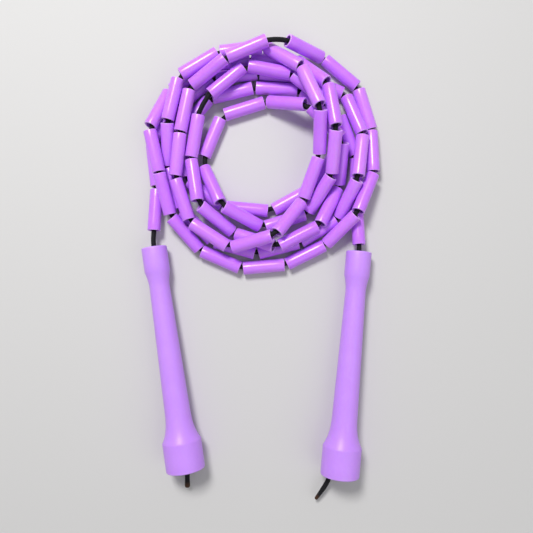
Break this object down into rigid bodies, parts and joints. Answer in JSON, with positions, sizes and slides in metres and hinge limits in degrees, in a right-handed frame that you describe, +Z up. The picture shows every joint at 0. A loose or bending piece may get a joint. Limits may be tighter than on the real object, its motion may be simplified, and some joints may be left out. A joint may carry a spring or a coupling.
{
  "type": "jump rope",
  "caption": "Beaded skipping rope, loosely coiled: hollow tube beads on a braided cord, with a tied stopper knot and a washer in each one-piece moulded handle",
  "frame": {"origin": "on the floor, at the middle of the coil of beads", "axes": "+Z up from the floor; -Y from the coil towards the two handles; +X to the right, so that left_handle lies at -X"},
  "size_m": [0.2174, 0.4228, 0.0465],
  "materials": {
    "bead": "glossy extruded plastic tube, cut square, slightly translucent purple",
    "handle": "satin injection-moulded plastic, purple",
    "washer": "plain stamped washer, zinc plated",
    "braid": "black braided polyester cord, ends melted"
  },
  "bodies": {
    "root": {"cord": "braid", "left_knot": "braid", "right_knot": "braid", "last_beads": "bead"},
    "left_washer": {"left_washer": "washer"},
    "left_handle": {"left_handle": "handle"},
    "right_washer": {"right_washer": "washer"},
    "right_handle": {"right_handle": "handle"},
    "bead_01": {"bead_01": "bead"},
    "bead_02": {"bead_02": "bead"},
    "bead_03": {"bead_03": "bead"},
    "bead_04": {"bead_04": "bead"},
    "bead_05": {"bead_05": "bead"},
    "bead_06": {"bead_06": "bead"},
    "bead_07": {"bead_07": "bead"},
    "bead_08": {"bead_08": "bead"},
    "bead_09": {"bead_09": "bead"},
    "bead_10": {"bead_10": "bead"},
    "bead_11": {"bead_11": "bead"},
    "bead_12": {"bead_12": "bead"},
    "bead_13": {"bead_13": "bead"},
    "bead_14": {"bead_14": "bead"},
    "bead_15": {"bead_15": "bead"},
    "bead_16": {"bead_16": "bead"},
    "bead_17": {"bead_17": "bead"},
    "bead_18": {"bead_18": "bead"},
    "bead_19": {"bead_19": "bead"},
    "bead_20": {"bead_20": "bead"},
    "bead_21": {"bead_21": "bead"},
    "bead_22": {"bead_22": "bead"},
    "bead_23": {"bead_23": "bead"},
    "bead_24": {"bead_24": "bead"},
    "bead_25": {"bead_25": "bead"},
    "bead_26": {"bead_26": "bead"},
    "bead_27": {"bead_27": "bead"},
    "bead_28": {"bead_28": "bead"},
    "bead_29": {"bead_29": "bead"},
    "bead_30": {"bead_30": "bead"},
    "bead_31": {"bead_31": "bead"},
    "bead_32": {"bead_32": "bead"},
    "bead_33": {"bead_33": "bead"},
    "bead_34": {"bead_34": "bead"},
    "bead_35": {"bead_35": "bead"},
    "bead_36": {"bead_36": "bead"},
    "bead_37": {"bead_37": "bead"},
    "bead_38": {"bead_38": "bead"},
    "bead_39": {"bead_39": "bead"},
    "bead_40": {"bead_40": "bead"},
    "bead_41": {"bead_41": "bead"},
    "bead_42": {"bead_42": "bead"},
    "bead_43": {"bead_43": "bead"},
    "bead_44": {"bead_44": "bead"},
    "bead_45": {"bead_45": "bead"},
    "bead_46": {"bead_46": "bead"},
    "bead_47": {"bead_47": "bead"},
    "bead_48": {"bead_48": "bead"},
    "bead_49": {"bead_49": "bead"},
    "bead_50": {"bead_50": "bead"},
    "bead_51": {"bead_51": "bead"},
    "bead_52": {"bead_52": "bead"}
  },
  "joints": [
    {"name": "left_handle_slide", "type": "slide", "parent": "root", "child": "left_washer", "axis": [-0.1477, 0.9884, -0.0341], "range_m": [0, 0.006]},
    {"name": "left_handle_swivel", "type": "hinge", "parent": "left_washer", "child": "left_handle", "pos_m": [-0.0986, -0.0863, 0.01145], "axis": [0.1477, -0.9884, 0.0341], "continuous": true},
    {"name": "right_handle_slide", "type": "slide", "parent": "root", "child": "right_washer", "axis": [0.0906, 0.9953, -0.0341], "range_m": [0, 0.002]},
    {"name": "right_handle_swivel", "type": "hinge", "parent": "right_washer", "child": "right_handle", "pos_m": [0.0885, -0.0904, 0.01145], "axis": [-0.0906, -0.9953, 0.0341], "continuous": true},
    {"name": "bead_01_spin", "type": "hinge", "parent": "root", "child": "bead_01", "pos_m": [-0.09793, -0.0523, 0.00826], "axis": [0.0482, 0.9935, -0.1034], "continuous": true},
    {"name": "bead_02_spin", "type": "hinge", "parent": "root", "child": "bead_02", "pos_m": [-0.09913, -0.01096, 0.006], "axis": [-0.1141, 0.9935, 0], "continuous": true},
    {"name": "bead_03_spin", "type": "hinge", "parent": "root", "child": "bead_03", "pos_m": [-0.08855, 0.02773, 0.006], "axis": [0.6039, 0.7971, 0], "continuous": true},
    {"name": "bead_04_spin", "type": "hinge", "parent": "root", "child": "bead_04", "pos_m": [-0.06107, 0.05626, 0.006], "axis": [0.7738, 0.6334, 0], "continuous": true},
    {"name": "bead_05_spin", "type": "hinge", "parent": "root", "child": "bead_05", "pos_m": [-0.02357, 0.07169, 0.006], "axis": [0.9953, 0.0971, 0], "continuous": true},
    {"name": "bead_06_spin", "type": "hinge", "parent": "root", "child": "bead_06", "pos_m": [0.01694, 0.07197, 0.006], "axis": [0.9968, -0.08, 0], "continuous": true},
    {"name": "bead_07_spin", "type": "hinge", "parent": "root", "child": "bead_07", "pos_m": [0.05657, 0.06263, 0.00607], "axis": [0.9247, -0.3806, 0.0036], "continuous": true},
    {"name": "bead_08_spin", "type": "hinge", "parent": "root", "child": "bead_08", "pos_m": [0.08432, 0.03441, 0.01068], "axis": [0.3463, -0.9147, 0.2082], "continuous": true},
    {"name": "bead_09_spin", "type": "hinge", "parent": "root", "child": "bead_09", "pos_m": [0.0887, -0.00439, 0.01893], "axis": [-0.134, -0.972, 0.1928], "continuous": true},
    {"name": "bead_10_spin", "type": "hinge", "parent": "root", "child": "bead_10", "pos_m": [0.07796, -0.04259, 0.01453], "axis": [-0.3744, -0.8362, -0.4008], "continuous": true},
    {"name": "bead_11_spin", "type": "hinge", "parent": "root", "child": "bead_11", "pos_m": [0.05182, -0.07158, 0.006], "axis": [-0.8512, -0.5248, -0.0002], "continuous": true},
    {"name": "bead_12_spin", "type": "hinge", "parent": "root", "child": "bead_12", "pos_m": [0.01516, -0.0871, 0.006], "axis": [-0.9689, -0.2474, 0], "continuous": true},
    {"name": "bead_13_spin", "type": "hinge", "parent": "root", "child": "bead_13", "pos_m": [-0.02505, -0.08663, 0.006], "axis": [-0.9621, 0.2728, 0], "continuous": true},
    {"name": "bead_14_spin", "type": "hinge", "parent": "root", "child": "bead_14", "pos_m": [-0.05978, -0.06654, 0.006], "axis": [-0.7174, 0.6966, 0], "continuous": true},
    {"name": "bead_15_spin", "type": "hinge", "parent": "root", "child": "bead_15", "pos_m": [-0.08066, -0.03212, 0.006], "axis": [-0.2858, 0.9583, 0], "continuous": true},
    {"name": "bead_16_spin", "type": "hinge", "parent": "root", "child": "bead_16", "pos_m": [-0.08593, 0.00728, 0.01235], "axis": [0.0292, 0.9514, 0.3066], "continuous": true},
    {"name": "bead_17_spin", "type": "hinge", "parent": "root", "child": "bead_17", "pos_m": [-0.08047, 0.04647, 0.01861], "axis": [0.2397, 0.9708, -0.0008], "continuous": true},
    {"name": "bead_18_spin", "type": "hinge", "parent": "root", "child": "bead_18", "pos_m": [-0.05671, 0.07859, 0.01844], "axis": [0.8584, 0.5129, -0.0072], "continuous": true},
    {"name": "bead_19_spin", "type": "hinge", "parent": "root", "child": "bead_19", "pos_m": [-0.01909, 0.09178, 0.01777], "axis": [0.9905, 0.1349, -0.0256], "continuous": true},
    {"name": "bead_20_spin", "type": "hinge", "parent": "root", "child": "bead_20", "pos_m": [0.01909, 0.08296, 0.02438], "axis": [0.7714, -0.5432, 0.3315], "continuous": true},
    {"name": "bead_21_spin", "type": "hinge", "parent": "root", "child": "bead_21", "pos_m": [0.04283, 0.05308, 0.03623], "axis": [0.3743, -0.8958, 0.2397], "continuous": true},
    {"name": "bead_22_spin", "type": "hinge", "parent": "root", "child": "bead_22", "pos_m": [0.05106, 0.01393, 0.03282], "axis": [0.0083, -0.9183, -0.3958], "continuous": true},
    {"name": "bead_23_spin", "type": "hinge", "parent": "root", "child": "bead_23", "pos_m": [0.04415, -0.02459, 0.02095], "axis": [-0.3335, -0.9261, -0.1763], "continuous": true},
    {"name": "bead_24_spin", "type": "hinge", "parent": "root", "child": "bead_24", "pos_m": [0.02449, -0.06022, 0.02413], "axis": [-0.5905, -0.7335, 0.3365], "continuous": true},
    {"name": "bead_25_spin", "type": "hinge", "parent": "root", "child": "bead_25", "pos_m": [-0.00867, -0.08183, 0.02547], "axis": [-0.9268, -0.2561, -0.2747], "continuous": true},
    {"name": "bead_26_spin", "type": "hinge", "parent": "root", "child": "bead_26", "pos_m": [-0.04726, -0.07549, 0.01894], "axis": [-0.8374, 0.5461, -0.0237], "continuous": true},
    {"name": "bead_27_spin", "type": "hinge", "parent": "root", "child": "bead_27", "pos_m": [-0.07175, -0.04378, 0.01802], "axis": [-0.3189, 0.9476, -0.0197], "continuous": true},
    {"name": "bead_28_spin", "type": "hinge", "parent": "root", "child": "bead_28", "pos_m": [-0.07593, -0.0032, 0.01823], "axis": [0.1116, 0.9933, 0.0289], "continuous": true},
    {"name": "bead_29_spin", "type": "hinge", "parent": "root", "child": "bead_29", "pos_m": [-0.06955, 0.03622, 0.01858], "axis": [0.2083, 0.978, -0.0117], "continuous": true},
    {"name": "bead_30_spin", "type": "hinge", "parent": "root", "child": "bead_30", "pos_m": [-0.04772, 0.06979, 0.02327], "axis": [0.7967, 0.5597, 0.2281], "continuous": true},
    {"name": "bead_31_spin", "type": "hinge", "parent": "root", "child": "bead_31", "pos_m": [-0.01313, 0.08831, 0.02931], "axis": [0.9287, 0.3637, 0.0728], "continuous": true},
    {"name": "bead_32_spin", "type": "hinge", "parent": "root", "child": "bead_32", "pos_m": [0.03868, 0.09234, 0.01688], "axis": [0.8373, -0.2274, -0.4972], "continuous": true},
    {"name": "bead_33_spin", "type": "hinge", "parent": "root", "child": "bead_33", "pos_m": [0.07254, 0.07397, 0.00619], "axis": [0.7665, -0.6422, -0.0092], "continuous": true},
    {"name": "bead_34_spin", "type": "hinge", "parent": "root", "child": "bead_34", "pos_m": [0.09471, 0.04055, 0.006], "axis": [0.2951, -0.9555, 0], "continuous": true},
    {"name": "bead_35_spin", "type": "hinge", "parent": "root", "child": "bead_35", "pos_m": [0.10113, 0.00133, 0.00889], "axis": [0.0235, -0.9894, 0.143], "continuous": true},
    {"name": "bead_36_spin", "type": "hinge", "parent": "root", "child": "bead_36", "pos_m": [0.09379, -0.03726, 0.01626], "axis": [-0.3842, -0.8971, 0.2179], "continuous": true},
    {"name": "bead_37_spin", "type": "hinge", "parent": "root", "child": "bead_37", "pos_m": [0.07176, -0.0704, 0.01403], "axis": [-0.6621, -0.6753, -0.3249], "continuous": true},
    {"name": "bead_38_spin", "type": "hinge", "parent": "root", "child": "bead_38", "pos_m": [0.03998, -0.09327, 0.00674], "axis": [-0.894, -0.4467, -0.0341], "continuous": true},
    {"name": "bead_39_spin", "type": "hinge", "parent": "root", "child": "bead_39", "pos_m": [0.00161, -0.1041, 0.00603], "axis": [-0.9963, -0.0861, -0.0009], "continuous": true},
    {"name": "bead_40_spin", "type": "hinge", "parent": "root", "child": "bead_40", "pos_m": [-0.03791, -0.09756, 0.00617], "axis": [-0.9155, 0.4021, 0.0076], "continuous": true},
    {"name": "bead_41_spin", "type": "hinge", "parent": "root", "child": "bead_41", "pos_m": [-0.06993, -0.07386, 0.00979], "axis": [-0.6402, 0.7495, 0.1686], "continuous": true},
    {"name": "bead_42_spin", "type": "hinge", "parent": "root", "child": "bead_42", "pos_m": [-0.0881, -0.0383, 0.01566], "axis": [-0.2405, 0.9638, 0.1152], "continuous": true},
    {"name": "bead_43_spin", "type": "hinge", "parent": "root", "child": "bead_43", "pos_m": [-0.097, -0.00012, 0.01819], "axis": [-0.2117, 0.9773, 0.0123], "continuous": true},
    {"name": "bead_44_spin", "type": "hinge", "parent": "root", "child": "bead_44", "pos_m": [-0.09321, 0.03927, 0.01235], "axis": [0.392, 0.8738, -0.2877], "continuous": true},
    {"name": "bead_45_spin", "type": "hinge", "parent": "root", "child": "bead_45", "pos_m": [-0.06782, 0.06953, 0.00616], "axis": [0.8202, 0.572, -0.008], "continuous": true},
    {"name": "bead_46_spin", "type": "hinge", "parent": "root", "child": "bead_46", "pos_m": [-0.03017, 0.08385, 0.006], "axis": [0.9925, 0.1219, 0], "continuous": true},
    {"name": "bead_47_spin", "type": "hinge", "parent": "root", "child": "bead_47", "pos_m": [0.0094, 0.08527, 0.00864], "axis": [0.9897, -0.0521, 0.1331], "continuous": true},
    {"name": "bead_48_spin", "type": "hinge", "parent": "root", "child": "bead_48", "pos_m": [0.04468, 0.07086, 0.02067], "axis": [0.6553, -0.6217, 0.4291], "continuous": true},
    {"name": "bead_49_spin", "type": "hinge", "parent": "root", "child": "bead_49", "pos_m": [0.06168, 0.03713, 0.03364], "axis": [0.1482, -0.9717, 0.1838], "continuous": true},
    {"name": "bead_50_spin", "type": "hinge", "parent": "root", "child": "bead_50", "pos_m": [0.06365, -0.00286, 0.02986], "axis": [-0.0536, -0.9312, -0.3605], "continuous": true},
    {"name": "bead_51_spin", "type": "hinge", "parent": "root", "child": "bead_51", "pos_m": [0.05248, -0.03831, 0.01462], "axis": [-0.4894, -0.786, -0.3778], "continuous": true},
    {"name": "bead_52_spin", "type": "hinge", "parent": "root", "child": "bead_52", "pos_m": [0.02109, -0.06193, 0.00804], "axis": [-0.9515, -0.2983, 0.0753], "continuous": true}
  ]
}
